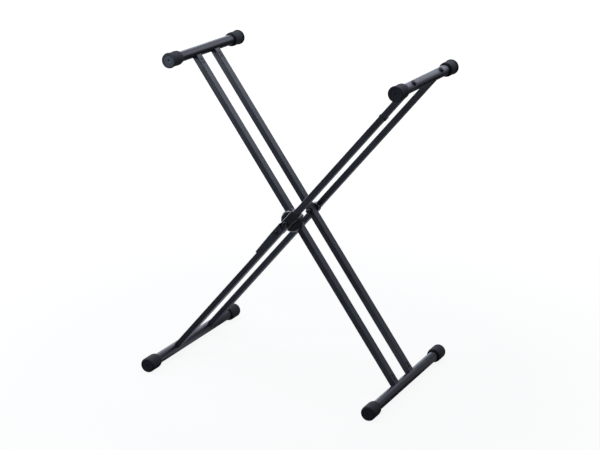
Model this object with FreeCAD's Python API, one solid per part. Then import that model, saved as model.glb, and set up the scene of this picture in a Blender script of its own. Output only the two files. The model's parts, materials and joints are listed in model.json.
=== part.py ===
import FreeCAD, Part
import math
import os
from FreeCAD import Vector

# Folding keyboard stand of the double-braced X kind, standing open.
# Two frames cross at one pivot axis: the inner frame leans to the left, the outer
# frame to the right. Each is two rectangular steel tubes between a round arm bar at
# the top and a round foot bar at the bottom. A notched disc on the near inner tube
# and a lever with a pawl on the near outer tube lock the height.
#
# Row frame: X across the open X, Y along the bars, Z up, origin on the floor under
# the pivot axis, millimetres. Each frame is built in its own axes first: z along its
# tubes (up), y along its bars, x square to both, with the pivot axis as the y axis.

# ---------------------------------------------------------------- overall sizes
rest_angle = 52.3            # lean of each frame from the floor, degrees
arm_reach = 500.0            # pivot axis to the arm bar's centre
foot_reach = 506.0           # pivot axis to the foot bar's centre
arm_span = 391.0             # arm bar over its two caps
foot_span = 509.0            # foot bar over its two caps
inner_bar_shift = 4.5        # the inner frame's bars sit this far towards the far side

# ---------------------------------------------------------------- tubes and bars
tube_width = 15.0            # in the plane of the X
tube_depth = 26.0            # along the bars
tube_wall = 1.2
tube_corner = 1.6            # outer corner radius
tube_inner_corner = 0.6
inner_tube_y = 51.0          # inner tubes' centre lines, each side of the middle
frame_gap = 17.7             # clear gap between an inner and an outer tube
bar_radius = 13.6
bar_wall = 1.5
seat_gap = 0.05              # between a coped end and the bar it cradles

# ---------------------------------------------------------------- rubber caps
cap_length = 47.0
cap_end_wall = 4.0
cap_bore_clearance = 0.05
arm_cap_flange_radius = 19.9
arm_cap_flange_length = 7.0
arm_cap_edge = 2.4           # rounding of the flange
arm_cap_neck_radius = 16.9   # just behind the flange
arm_cap_belly_radius = 18.9  # widest part of the sleeve
arm_cap_belly_setback = 39.0 # widest part back from the end face
arm_cap_groove_count = 5
arm_cap_groove_pitch = 5.4
arm_cap_groove_depth = 0.5   # also the groove's half width
foot_cap_radius = 19.4
foot_cap_edge = 4.0
foot_cap_lip_length = 5.0
foot_cap_lip_drop = 0.8
cap_face_radius = 13.4       # shallow dish in the end face
cap_face_depth = 0.7
cap_vent_radius = 1.9
cap_vent_depth = 2.6

# ---------------------------------------------------------------- bar fixings
bar_bolt_radius = 3.0
bar_bolt_head_radius = 6.4
bar_bolt_head_height = 3.2
bar_bolt_dome = 1.9          # rounding of the button head
bolt_socket_flat = 4.0       # across the flats of the hexagon socket
bolt_socket_depth = 1.8
hole_clearance = 0.25
saddle_washer_radius = 8.0
saddle_washer_thickness = 1.4
plug_length = 46.0
plug_clearance = 0.15
plug_corner = 1.2
plug_nut_size = 10.0         # square nut, across the flats
plug_nut_height = 5.0
plug_nut_setback = 16.2      # bar centre to the nut's near face
bolt_tail = 0.5              # bolt thread past its nut
screw_radius = 2.0
screw_head_radius = 3.6
screw_head_height = 1.3
screw_head_dome = 0.8
screw_length = 8.0
screw_setbacks = (24.5, 34.0)   # bar centre to each screw
stub_length = 52.0           # stub inside a tube's end, from the bar's centre
stub_wall = 1.6
thread_clearance = 0.03

# ---------------------------------------------------------------- pivots
pivot_bolt_radius = 4.0
pivot_fit = 0.05             # running clearance of the pivot bolt
pivot_head_radius = 7.6
pivot_head_height = 4.6
pivot_head_dome = 2.8
pivot_socket_flat = 5.0      # across the flats of its hexagon socket
sleeve_radius = 5.5          # steel sleeve through each tube
sleeve_clearance = 0.03
pivot_washer_radius = 9.0
nylon_washer_radius = 10.5
pivot_washer_thickness = 1.6
nylon_washer_thickness = 1.4
face_gap = 0.1               # running gap between flat faces
pivot_nut_flat = 13.0
pivot_nut_height = 6.5
pivot_nut_dome_radius = 5.6
pivot_nut_dome_height = 4.5
pivot_nut_dome_edge = 3.6
spacer_radius = 14.0
spacer_edge = 1.5

# ---------------------------------------------------------------- height lock
disc_radius = 26.5
disc_thickness = 5.0
disc_edge = 0.6
notch_width = 7.4
notch_depth = 1.5
notch_turns = (-70.5, -28.0, -14.0, 0.0, 14.0, 28.0)   # fold angles with a notch
disc_rivet_radius = 2.4
disc_rivet_head_radius = 4.2
disc_rivet_head_height = 1.8
disc_rivet_reach = 17.0
cover_radius = 30.5
cover_plate = 4.0
cover_wall = 3.0
cover_edge = 8.0             # rounding of the drum's front rim
cover_face_gap = 3.8         # cover's front face to the outer tube
cover_skirt_gap = 0.5
cover_hub_radius = 11.0
cover_seat_low = 10.0        # seat against the tube, below the pivot axis
cover_seat_high = 24.0       # and above it

# ---------------------------------------------------------------- pivot housing
housing_radius = 12.2        # round lower end, about the pivot axis
housing_top = 39.0           # above the pivot axis
housing_flare_start = 17.0   # where the right side starts to spread
housing_flare = 4.2          # how far it spreads by the top
housing_front = 2.2          # plate in front of the tube
housing_gap = 0.3            # housing to the tube
housing_corner = 3.0         # rounding of its upper corners, seen from the front
housing_bend = 14.0          # rounding where the flare starts
housing_edge = 2.8           # rounding of its front edges

# ---------------------------------------------------------------- lever and pawl
lever_pin_drop = 36.0        # lever pin below the pivot axis, on the near outer tube
lever_pin_offset = 3.4       # pin from the tube's centre line, towards the web
lever_pin_radius = 2.5
lever_pin_fit = 0.05
lever_pin_head_radius = 4.6
lever_pin_head_height = 2.0
lever_pin_head_dome = 1.2
lever_pin_tail = 0.5
lever_sheet = 1.5
lever_front_gap = 1.5        # front flange to the tube's front face
lever_back_gap = 1.3         # back flange to the tube's back face
lever_web_offset = 13.9      # web's outer face from the tube's centre line, at the top
lever_web_offset_end = 11.3  # the same at the free end
lever_top = 13.0             # top of the web below the pivot axis
lever_kink = 47.0            # where the web starts to close in on the tube
lever_length = 118.3         # free end below the pivot axis
lever_front_edge = 6.0       # open edge of the flanges, past the tube's centre line
lever_scoop_radius = 17.0    # the flanges' tops curve round the pivot axis
lever_bend = 2.6
pawl_offset = 3.6            # pawl's centre line past the tube's centre line
pawl_width = 5.0
pawl_foot = 46.0             # lower end of the pawl below the pivot axis
pawl_gap = 0.5               # pawl's nose to the disc's rim at rest
pawl_side_gap = 0.9          # pawl's back to the inner tube
pawl_rivet_radius = 1.3
pawl_rivet_head_radius = 2.4
pawl_rivet_head_height = 0.5
pawl_rivet_drops = (34.5, 42.0)
window_margin = 2.2          # room round the pawl in the cover
window_rise = 5.0            # window's top above the pawl's nose
leaf_thickness = 0.7
leaf_width = 11.0
leaf_foot = 64.0             # lower end of the leaf spring below the pivot axis
leaf_bend = 44.0
leaf_tip = 17.0
leaf_tip_gap = 0.3
leaf_rivet_drop = 55.0
leaf_rivet_radius = 1.5
leaf_rivet_head_radius = 2.8
leaf_rivet_head_height = 1.2

# ---------------------------------------------------------------- cable tie
tie_setback = 105.0          # arm bar's centre to the tie, on the near outer tube
tie_width = 4.6
tie_thickness = 1.3
tie_clearance = 0.1
tie_head_rise = 4.0          # head's face past the tube's face
tie_head_width = 6.6
tie_head_length = 6.0
tie_head_setback = 4.5       # head's middle behind the tube's front face
tie_head_edge = 0.8
tie_tail_length = 2.5
tie_tail_width = 3.8
tie_tail_thickness = 1.0

# ---------------------------------------------------------------- worked out
outer_tube_y = inner_tube_y + tube_depth + frame_gap
tie_height = arm_reach - tie_setback
pivot_height = foot_cap_radius + foot_reach * math.sin(math.radians(rest_angle))
tilt = 90.0 - rest_angle
half_width = tube_width / 2
half_depth = tube_depth / 2

INNER = -1                   # leans to the left
OUTER = 1                    # leans to the right
FRAMES = {"inner": INNER, "outer": OUTER}
TUBE_Y = {"inner": inner_tube_y, "outer": outer_tube_y}
SIDES = {"near": -1, "far": 1}


# ---------------------------------------------------------------- shaping helpers
def block(x0, x1, y0, y1, z0, z1):
    return Part.makeBox(x1 - x0, y1 - y0, z1 - z0, Vector(x0, y0, z0))


def rod(radius, start, end):
    run = end - start
    return Part.makeCylinder(radius, run.Length, start, run)


def across(radius, y0, y1, x=0.0, z=0.0):
    """A cylinder along y."""
    return rod(radius, Vector(x, y0, z), Vector(x, y1, z))


def prism(outline, y0, y1):
    """An outline in the x-z plane, given depth along y."""
    corners = [Vector(x, y0, z) for x, z in outline]
    face = Part.Face(Part.makePolygon(corners + corners[:1]))
    return face.extrude(Vector(0, y1 - y0, 0))


def edges_where(shape, test):
    return [edge for edge in shape.Edges if test(edge)]


def runs_along(edge, axis):
    """True for a straight edge along the given axis: x, y or z."""
    size = edge.BoundBox
    spans = {"x": size.XLength, "y": size.YLength, "z": size.ZLength}
    others = [spans[name] for name in spans if name != axis]
    return spans[axis] > 1e-3 and max(others) < 1e-6


def round_at(edge, radius, y):
    """True for a circle of this radius about a y axis, at this y."""
    curve = edge.Curve
    if not isinstance(curve, Part.Circle):
        return False
    return abs(curve.Radius - radius) < 1e-6 and abs(edge.BoundBox.YMin - y) < 1e-4 \
        and edge.BoundBox.YLength < 1e-4


def hexagon(flat, y0, y1, x=0.0, z=0.0):
    reach = flat / math.sqrt(3)
    corners = [(x + reach * math.cos(math.radians(60 * i)),
                z + reach * math.sin(math.radians(60 * i))) for i in range(6)]
    return prism(corners, y0, y1)


def mirrored(shape, side):
    """The shape as it is for the far side, or mirrored across the middle for the near."""
    if side > 0:
        return shape
    return shape.mirror(Vector(0, 0, 0), Vector(0, 1, 0))


def stood(shape, lean):
    """Moves a shape from its frame's own axes to where it stands."""
    placed = shape.copy()
    placed.rotate(Vector(0, 0, 0), Vector(0, 1, 0), lean * tilt)
    placed.translate(Vector(0, 0, pivot_height))
    return placed


# ---------------------------------------------------------------- tubes and bars
def tube_blank(width, depth, corner):
    blank = block(-width / 2, width / 2, -depth / 2, depth / 2, -foot_reach, arm_reach)
    return blank.makeFillet(corner, edges_where(blank, lambda edge: runs_along(edge, "z")))


def cope(shape):
    """Cuts both ends of a tube or plug to the bars they cradle."""
    for height in (-foot_reach, arm_reach):
        shape = shape.cut(across(bar_radius + seat_gap, -tube_depth, tube_depth, z=height))
    return shape


def screw_heights():
    tops = [arm_reach - setback for setback in screw_setbacks]
    return tops + [setback - foot_reach for setback in screw_setbacks]


def frame_tube(name):
    """One rectangular tube with its pivot hole and coped ends; the inner ones take screws."""
    inside = tube_blank(tube_width - 2 * tube_wall, tube_depth - 2 * tube_wall,
                        tube_inner_corner)
    tube = cope(tube_blank(tube_width, tube_depth, tube_corner).cut(inside))
    tube = tube.cut(across(sleeve_radius + sleeve_clearance, -tube_depth, tube_depth))
    if name == "inner":
        for height in screw_heights():
            hole = rod(screw_radius + hole_clearance, Vector(0, 0, height),
                       Vector(tube_width, 0, height))
            tube = tube.cut(hole)
    return tube


def lever_holes(tube):
    """Holes for the lever pin and the leaf spring's rivet in the near outer tube."""
    pin = across(lever_pin_radius + thread_clearance, -tube_depth, tube_depth,
                 x=-lever_pin_offset, z=-lever_pin_drop)
    rivet = rod(leaf_rivet_radius + thread_clearance, Vector(0, 0, -leaf_rivet_drop),
                Vector(-tube_width, 0, -leaf_rivet_drop))
    return tube.cut(pin).cut(rivet)


def disc_rivet_holes(tube):
    for height in (-disc_rivet_reach, disc_rivet_reach):
        hole = across(disc_rivet_radius + thread_clearance, -tube_depth, 0, z=height)
        tube = tube.cut(hole)
    return tube


def bar(name, span, height):
    """A round bar; the outer frame's have a bolt hole through them at each tube."""
    half = span / 2 - cap_end_wall - face_gap
    body = across(bar_radius, -half, half, z=height)
    body = body.cut(across(bar_radius - bar_wall, -half, half, z=height))
    if name == "inner":
        return body
    for side in (-1, 1):
        y = side * TUBE_Y[name]
        hole = rod(bar_bolt_radius + hole_clearance, Vector(0, y, height - 2 * bar_radius),
                   Vector(0, y, height + 2 * bar_radius))
        body = body.cut(hole)
    return body


# ---------------------------------------------------------------- rubber caps
def cap_end(cap, face, height):
    """Gives a cap its bore, the shallow dish in its end face and the vent hole."""
    mouth = face - cap_length
    cap = cap.cut(across(bar_radius + cap_bore_clearance, mouth, face - cap_end_wall, z=height))
    cap = cap.cut(across(cap_face_radius, face - cap_face_depth, face, z=height))
    return cap.cut(across(cap_vent_radius, face - cap_vent_depth, face, z=height))


def sleeve_radius_at(setback):
    """Radius of an arm cap's bowed sleeve at a distance back from its end face."""
    rise = arm_cap_belly_radius - arm_cap_neck_radius
    run = arm_cap_belly_setback - arm_cap_flange_length
    bow = (run ** 2 + rise ** 2) / (2 * rise)
    drop = bow - math.sqrt(bow ** 2 - (setback - arm_cap_belly_setback) ** 2)
    return arm_cap_belly_radius - drop


def bowed_sleeve(face):
    """The sleeve of an arm cap, turned about the y axis."""
    root = arm_cap_flange_length / 2
    setbacks = (cap_length, arm_cap_belly_setback, root)
    mouth, belly, neck = [Vector(0, face - setback, sleeve_radius_at(setback))
                          for setback in setbacks]
    low = Vector(0, face - cap_length, 0)
    high = Vector(0, face - root, 0)
    outline = [Part.makeLine(low, mouth), Part.Arc(mouth, belly, neck).toShape(),
               Part.makeLine(neck, high), Part.makeLine(high, low)]
    return Part.Face(Part.Wire(outline)).revolve(Vector(0, 0, 0), Vector(0, 1, 0), 360)


def arm_cap(height):
    """Cap of an arm bar: a bowed, grooved sleeve that narrows to a neck behind a flange."""
    face = arm_span / 2
    flange_start = face - arm_cap_flange_length
    flange = across(arm_cap_flange_radius, flange_start, face)
    rims = edges_where(flange, lambda edge: round_at(edge, arm_cap_flange_radius, flange_start)
                       or round_at(edge, arm_cap_flange_radius, face))
    cap = bowed_sleeve(face).fuse(flange.makeFillet(arm_cap_edge, rims)).removeSplitter()
    for index in range(arm_cap_groove_count):
        setback = cap_length - arm_cap_groove_pitch * (index + 1)
        groove = Part.makeTorus(sleeve_radius_at(setback), arm_cap_groove_depth,
                                Vector(0, face - setback, 0), Vector(0, 1, 0))
        cap = cap.cut(groove)
    cap.translate(Vector(0, 0, height))
    return cap_end(cap, face, height)


def foot_cap(height):
    """Cap of a foot bar: a plain thick sleeve with a well rounded end."""
    face = foot_span / 2
    mouth = face - cap_length
    cap = across(foot_cap_radius, mouth + foot_cap_lip_length, face, z=height)
    rims = edges_where(cap, lambda edge: round_at(edge, foot_cap_radius, face))
    cap = cap.makeFillet(foot_cap_edge, rims)
    lip = across(foot_cap_radius - foot_cap_lip_drop, mouth,
                 mouth + foot_cap_lip_length, z=height)
    return cap_end(cap.fuse(lip), face, height)


# ---------------------------------------------------------------- bar fixings
def button_bolt(radius, length, head_radius, head_height, dome):
    """A button-head bolt: shank below z = 0, head above, hexagon socket in the head."""
    head = Part.makeCylinder(head_radius, head_height)
    top = [edge for edge in head.Edges if edge.BoundBox.ZMin > head_height - 1e-4]
    head = head.makeFillet(dome, top)
    shank = Part.makeCylinder(radius, length, Vector(0, 0, -length))
    socket = hexagon(bolt_socket_flat, 0, bolt_socket_depth)
    socket.rotate(Vector(0, 0, 0), Vector(1, 0, 0), 90)
    socket.translate(Vector(0, 0, head_height))
    return head.fuse(shank).removeSplitter().cut(socket)


def outward(shape, y, height):
    """Places a bar fixing made about z = 0, its z axis pointing out of the frame's end."""
    placed = shape.copy()
    if height < 0:
        placed.rotate(Vector(0, 0, 0), Vector(0, 1, 0), 180)
    placed.translate(Vector(0, y, height))
    return placed


def at_joints(shape, name):
    """Copies of one bar fixing at the four places where tubes meet bars."""
    places = [(side * TUBE_Y[name], height) for height in (arm_reach, -foot_reach)
              for side in (-1, 1)]
    return Part.makeCompound([outward(shape, y, height) for y, height in places])


def bar_bolt():
    length = bar_radius + saddle_washer_thickness + plug_nut_setback + plug_nut_height + bolt_tail
    bolt = button_bolt(bar_bolt_radius, length, bar_bolt_head_radius,
                       bar_bolt_head_height, bar_bolt_dome)
    bolt.translate(Vector(0, 0, bar_radius + saddle_washer_thickness))
    return bolt


def saddle_washer():
    """A round washer, curved underneath to sit on the bar."""
    top = bar_radius + saddle_washer_thickness
    washer = Part.makeCylinder(saddle_washer_radius, top)
    washer = washer.cut(across(bar_radius + seat_gap, -tube_depth, tube_depth))
    return washer.cut(Part.makeCylinder(bar_bolt_radius + hole_clearance, top))


def plug():
    """Moulded plug in an outer tube's end: it carries the square nut."""
    inset = tube_wall + plug_clearance
    body = block(-half_width + inset, half_width - inset, -half_depth + inset,
                 half_depth - inset, -plug_length, 0)
    body = body.makeFillet(plug_corner, edges_where(body, lambda edge: runs_along(edge, "z")))
    body = body.cut(across(bar_radius + seat_gap, -tube_depth, tube_depth))
    deep = plug_nut_setback + plug_nut_height + bolt_tail + thread_clearance
    body = body.cut(rod(bar_bolt_radius + thread_clearance, Vector(0, 0, -deep), Vector(0, 0, 0)))
    half_nut = plug_nut_size / 2 + thread_clearance
    pocket = block(-half_nut, half_nut, -half_nut, half_nut,
                   -plug_nut_setback - plug_nut_height - thread_clearance,
                   -plug_nut_setback + thread_clearance)
    return body.cut(pocket)


def plug_nut():
    half_nut = plug_nut_size / 2
    nut = block(-half_nut, half_nut, -half_nut, half_nut,
                -plug_nut_setback - plug_nut_height, -plug_nut_setback)
    hole = Part.makeCylinder(bar_bolt_radius + thread_clearance, 2 * bar_radius,
                             Vector(0, 0, -2 * bar_radius))
    return nut.cut(hole)


def bar_stub():
    """Box-section stub welded to an inner bar; it slides into the tube and takes its screws."""
    inset = tube_wall + plug_clearance
    half_x = half_width - inset
    half_y = half_depth - inset
    body = block(-half_x, half_x, -half_y, half_y, -stub_length, 0)
    body = body.makeFillet(plug_corner, edges_where(body, lambda edge: runs_along(edge, "z")))
    body = body.cut(block(-half_x + stub_wall, half_x - stub_wall, -half_y + stub_wall,
                          half_y - stub_wall, -stub_length, 0))
    return body.cut(across(bar_radius + seat_gap, -tube_depth, tube_depth))


def drilled_stubs():
    stubs = at_joints(bar_stub(), "inner")
    for side in (-1, 1):
        for height in screw_heights():
            start = Vector(0, side * TUBE_Y["inner"], height)
            hole = rod(screw_radius + thread_clearance, start, start + Vector(half_width, 0, 0))
            stubs = stubs.cut(hole)
    return stubs


def stub_screw():
    """Pan-head screw along +x, its head's seat at x = 0."""
    head = Part.makeCylinder(screw_head_radius, screw_head_height)
    top = [edge for edge in head.Edges if edge.BoundBox.ZMin > screw_head_height - 1e-4]
    head = head.makeFillet(screw_head_dome, top)
    shank = Part.makeCylinder(screw_radius, screw_length, Vector(0, 0, -screw_length))
    screw = head.fuse(shank).removeSplitter()
    screw.rotate(Vector(0, 0, 0), Vector(0, 1, 0), 90)
    return screw


def stub_screws():
    """Two screws into each stub, through the inner tubes' upper faces."""
    screws = []
    for side in (-1, 1):
        for height in screw_heights():
            screw = stub_screw()
            screw.translate(Vector(half_width, side * TUBE_Y["inner"], height))
            screws.append(screw)
    return Part.makeCompound(screws)


# ---------------------------------------------------------------- pivots
# Along y on the far side, counted outwards from the middle: nut, washer, nylon
# washer, inner tube, spacer (far) or notched disc and cover (near), outer tube, head.
inner_face = inner_tube_y - half_depth       # inner tube, face towards the middle
gap_start = inner_tube_y + half_depth        # inner tube, face towards the outer tube
gap_end = outer_tube_y - half_depth          # outer tube, face towards the inner tube
outer_face = outer_tube_y + half_depth       # outer tube, outermost face
housing_face = outer_face + housing_gap + housing_front   # housing, outermost face
washer_face = inner_face - nylon_washer_thickness - face_gap
nut_seat = washer_face - pivot_washer_thickness


def pivot_bolt(seat):
    """Pivot bolt as on the far side: domed head on its seat, thread end to the middle."""
    tail = nut_seat - pivot_nut_height
    shank = across(pivot_bolt_radius, tail, seat)
    head = across(pivot_head_radius, seat, seat + pivot_head_height)
    rims = edges_where(head, lambda edge: round_at(edge, pivot_head_radius,
                                                   seat + pivot_head_height))
    head = head.makeFillet(pivot_head_dome, rims)
    socket = hexagon(pivot_socket_flat, seat + pivot_head_height - bolt_socket_depth,
                     seat + pivot_head_height)
    return shank.fuse(head).removeSplitter().cut(socket)


def pivot_bolts():
    """The far bolt's head sits on the tube, the near one's on the housing."""
    return Part.makeCompound([mirrored(pivot_bolt(housing_face), -1), pivot_bolt(outer_face)])


def pivot_nut():
    """Domed lock nut on the bolt's inner end."""
    body = hexagon(pivot_nut_flat, nut_seat - pivot_nut_height, nut_seat)
    dome_end = nut_seat - pivot_nut_height - pivot_nut_dome_height
    dome = across(pivot_nut_dome_radius, dome_end, nut_seat - pivot_nut_height)
    rims = edges_where(dome, lambda edge: round_at(edge, pivot_nut_dome_radius, dome_end))
    dome = dome.makeFillet(pivot_nut_dome_edge, rims)
    hole = across(pivot_bolt_radius + thread_clearance,
                  nut_seat - pivot_nut_height - thread_clearance, nut_seat)
    return body.fuse(dome).removeSplitter().cut(hole)


def ring(outer, inner, y0, y1):
    return across(outer, y0, y1).cut(across(inner, y0, y1))


def both_sides(shape):
    return Part.makeCompound([mirrored(shape.copy(), side) for side in (-1, 1)])


def pivot_spacer():
    """Plastic spacer between the far inner and outer tubes, its rims rounded."""
    start = gap_start + face_gap
    spacer = across(spacer_radius, start, gap_end)
    rims = edges_where(spacer, lambda edge: round_at(edge, spacer_radius, start)
                       or round_at(edge, spacer_radius, gap_end))
    spacer = spacer.makeFillet(spacer_edge, rims)
    return spacer.cut(across(pivot_bolt_radius + thread_clearance, start, gap_end))


# ---------------------------------------------------------------- height lock
# Built on the near side, so the y values below are negative.
disc_back = -gap_start
disc_front = disc_back - disc_thickness
cover_front = -gap_end + cover_face_gap
cover_back = cover_front + cover_plate
skirt_end = disc_back - cover_skirt_gap
nose_radius = disc_radius + pawl_gap
nose_drop = math.sqrt(nose_radius ** 2 - pawl_offset ** 2)
nose_angle = math.degrees(math.atan2(pawl_offset, -nose_drop))


def notched_disc():
    """Height disc riveted to the near inner tube, with one notch for each height."""
    disc = across(disc_radius, disc_front, disc_back)
    rims = edges_where(disc, lambda edge: round_at(edge, disc_radius, disc_front))
    disc = disc.makeChamfer(disc_edge, rims)
    disc = disc.cut(across(sleeve_radius + sleeve_clearance, disc_front, disc_back))
    notch = block(-notch_width / 2, notch_width / 2, disc_front, disc_back,
                  disc_radius - notch_depth, disc_radius + notch_depth)
    for turn in notch_turns:
        cutter = notch.copy()
        cutter.rotate(Vector(0, 0, 0), Vector(0, 1, 0), nose_angle + 2 * tilt + turn)
        disc = disc.cut(cutter)
    for height in (-disc_rivet_reach, disc_rivet_reach):
        hole = across(disc_rivet_radius + thread_clearance, disc_front, disc_back, z=height)
        disc = disc.cut(hole)
    return disc


def disc_rivets():
    """Two rivets that hold the notched disc to the tube's wall."""
    rivets = []
    inside = disc_back + tube_wall
    for height in (-disc_rivet_reach, disc_rivet_reach):
        head = across(disc_rivet_head_radius, disc_front - disc_rivet_head_height,
                      disc_front, z=height)
        shank = across(disc_rivet_radius, disc_front, inside, z=height)
        tail = across(disc_rivet_head_radius, inside, inside + disc_rivet_head_height, z=height)
        rivets.append(head.fuse([shank, tail]).removeSplitter())
    return Part.makeCompound(rivets)


def lock_cover():
    """Moulded drum over the disc, its front rim well rounded, seated on the outer tube."""
    cover = across(cover_radius, cover_front, skirt_end)
    rims = edges_where(cover, lambda edge: round_at(edge, cover_radius, cover_front))
    cover = cover.makeFillet(cover_edge, rims)
    cover = cover.cut(across(cover_radius - cover_wall, cover_back, skirt_end))
    hub_end = disc_front - face_gap
    hub = across(cover_hub_radius, cover_back, hub_end)
    seat = block(-half_width, half_width, -gap_end, cover_front, -cover_seat_low, cover_seat_high)
    cover = cover.fuse([hub, seat]).removeSplitter()
    cover = cover.cut(across(pivot_bolt_radius + thread_clearance, -gap_end, hub_end))
    reach = pawl_width / 2 + window_margin
    window = block(pawl_offset - reach, pawl_offset + reach, cover_front, skirt_end,
                   -cover_radius - cover_wall, -nose_drop + window_rise)
    return cover.cut(window)


def pivot_housing():
    """Moulded housing that straddles the near outer tube, from the drum to its own front."""
    back = cover_front - face_gap
    spread = housing_radius + housing_flare
    outline = [(-housing_radius, 0.0), (-housing_radius, housing_top), (spread, housing_top),
               (housing_radius, housing_flare_start), (housing_radius, 0.0)]
    body = prism(outline, -housing_face, back)
    corners = edges_where(body, lambda edge: edge.BoundBox.YLength > 1.0
                          and edge.BoundBox.ZMin > housing_top - 1e-3)
    body = body.makeFillet(housing_corner, corners)
    bends = edges_where(body, lambda edge: edge.BoundBox.YLength > 1.0
                        and abs(edge.BoundBox.ZMin - housing_flare_start) < 1e-3
                        and edge.BoundBox.ZLength < 1e-3)
    body = body.makeFillet(housing_bend, bends)
    body = body.fuse(across(housing_radius, -housing_face, back)).removeSplitter()
    fronts = edges_where(body, lambda edge: edge.BoundBox.YMax < -housing_face + 1e-3)
    body = body.makeFillet(housing_edge, fronts)
    inner = half_width + housing_gap
    channel = block(-inner, inner, -outer_face - housing_gap, back, -2 * housing_radius,
                    2 * housing_top)
    body = body.cut(channel)
    return body.cut(across(pivot_bolt_radius + thread_clearance, -housing_face, -outer_face))


# ---------------------------------------------------------------- lever and pawl
lever_front = -outer_face - lever_front_gap - lever_sheet
lever_back = -gap_end + lever_back_gap + lever_sheet


def lever_outline():
    """Side outline of the channel."""
    return [(-lever_web_offset, -lever_top),
            (-lever_web_offset, -lever_kink),
            (-lever_web_offset_end, -lever_length),
            (lever_front_edge, -lever_length),
            (lever_front_edge, -lever_top)]


def lever():
    """Bent sheet channel over the near outer tube: a web and two scooped flanges."""
    body = prism(lever_outline(), lever_front, lever_back)
    bends = edges_where(body, lambda edge: edge.BoundBox.YLength < 1e-6
                        and edge.BoundBox.XMax < -lever_web_offset_end + 1e-3)
    body = body.makeFillet(lever_bend, bends)
    hollow = prism(lever_hollow(), lever_front + lever_sheet, lever_back - lever_sheet)
    corners = edges_where(hollow, lambda edge: edge.BoundBox.YLength < 1e-6
                          and edge.BoundBox.XMax < -lever_web_offset_end + lever_sheet + 1.0)
    hollow = hollow.makeFillet(lever_bend - lever_sheet, corners)
    body = body.cut(hollow)
    scoop = across(lever_scoop_radius, lever_front - 1, lever_back + 1)
    body = body.cut(scoop.common(block(-lever_web_offset + lever_bend, 2 * lever_scoop_radius,
                                       lever_front - 1, lever_back + 1,
                                       -lever_scoop_radius, lever_scoop_radius)))
    body = body.cut(across(lever_pin_radius + lever_pin_fit, lever_front - 1, lever_back + 1,
                           x=-lever_pin_offset, z=-lever_pin_drop))
    for drop in pawl_rivet_drops:
        body = body.cut(across(pawl_rivet_radius + thread_clearance, lever_back - 2 * lever_sheet,
                               lever_back + 1, x=pawl_offset, z=-drop))
    return body


def lever_hollow():
    """Corners of the channel's hollow: it runs out of the open edge and both ends."""
    past = 4 * lever_front_edge
    end = lever_length + lever_bend
    slope = (lever_web_offset - lever_web_offset_end) / (lever_length - lever_kink)
    web = -lever_web_offset + lever_sheet
    web_end = web + slope * (end - lever_kink)
    return [(web, 0.0), (web, -lever_kink), (web_end, -end), (past, -end), (past, 0.0)]


def pawl():
    """Hardened pawl riveted behind the lever's back flange, its nose hollowed to the disc."""
    low = pawl_offset - pawl_width / 2
    high = pawl_offset + pawl_width / 2
    body = block(low, high, lever_back, disc_back - pawl_side_gap, -pawl_foot,
                 -nose_drop + pawl_width)
    feet = edges_where(body, lambda edge: runs_along(edge, "y")
                       and edge.BoundBox.ZMax < -pawl_foot + 1e-3)
    body = body.makeFillet(pawl_width / 2 - 0.2, feet)
    body = body.cut(across(nose_radius, lever_back, disc_back))
    for drop in pawl_rivet_drops:
        body = body.cut(across(pawl_rivet_radius + thread_clearance, lever_back, disc_back,
                               x=pawl_offset, z=-drop))
    return body


def pawl_rivets():
    rivets = []
    back = disc_back - pawl_side_gap
    for drop in pawl_rivet_drops:
        front = lever_back - lever_sheet
        head = across(pawl_rivet_head_radius, front - pawl_rivet_head_height, front,
                      x=pawl_offset, z=-drop)
        shank = across(pawl_rivet_radius, front, back, x=pawl_offset, z=-drop)
        rivets.append(head.fuse(shank).removeSplitter())
    return Part.makeCompound(rivets)


def lever_pin():
    """Rivet through the near outer tube that the lever turns on."""
    x = -lever_pin_offset
    z = -lever_pin_drop
    head = across(lever_pin_head_radius, lever_front - lever_pin_head_height,
                  lever_front - face_gap, x, z)
    rims = edges_where(head, lambda edge: round_at(edge, lever_pin_head_radius,
                                                   lever_front - lever_pin_head_height))
    head = head.makeFillet(lever_pin_head_dome, rims)
    shank = across(lever_pin_radius, lever_front - face_gap, lever_back + lever_pin_tail, x, z)
    return head.fuse(shank).removeSplitter()


def leaf_spring():
    """Strip spring on the tube's upper face that pushes the web away from the tube."""
    base = -half_width
    tip = -lever_web_offset + lever_sheet + leaf_tip_gap
    y0 = -outer_tube_y - leaf_width / 2
    y1 = -outer_tube_y + leaf_width / 2
    outline = [(base, -leaf_foot), (base, -leaf_bend), (tip + leaf_thickness, -leaf_tip),
               (tip, -leaf_tip), (base - leaf_thickness, -leaf_bend),
               (base - leaf_thickness, -leaf_foot)]
    strip = prism(outline, y0, y1)
    rivet_hole = rod(leaf_rivet_radius + thread_clearance,
                     Vector(0, -outer_tube_y, -leaf_rivet_drop),
                     Vector(-2 * half_width, -outer_tube_y, -leaf_rivet_drop))
    return strip.cut(rivet_hole)


def leaf_rivet():
    seat = -half_width - leaf_thickness
    y = -outer_tube_y
    head = rod(leaf_rivet_head_radius, Vector(seat, y, -leaf_rivet_drop),
               Vector(seat - leaf_rivet_head_height, y, -leaf_rivet_drop))
    shank = rod(leaf_rivet_radius, Vector(seat, y, -leaf_rivet_drop),
                Vector(-half_width + 3 * tube_wall, y, -leaf_rivet_drop))
    return head.fuse(shank).removeSplitter()


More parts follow.
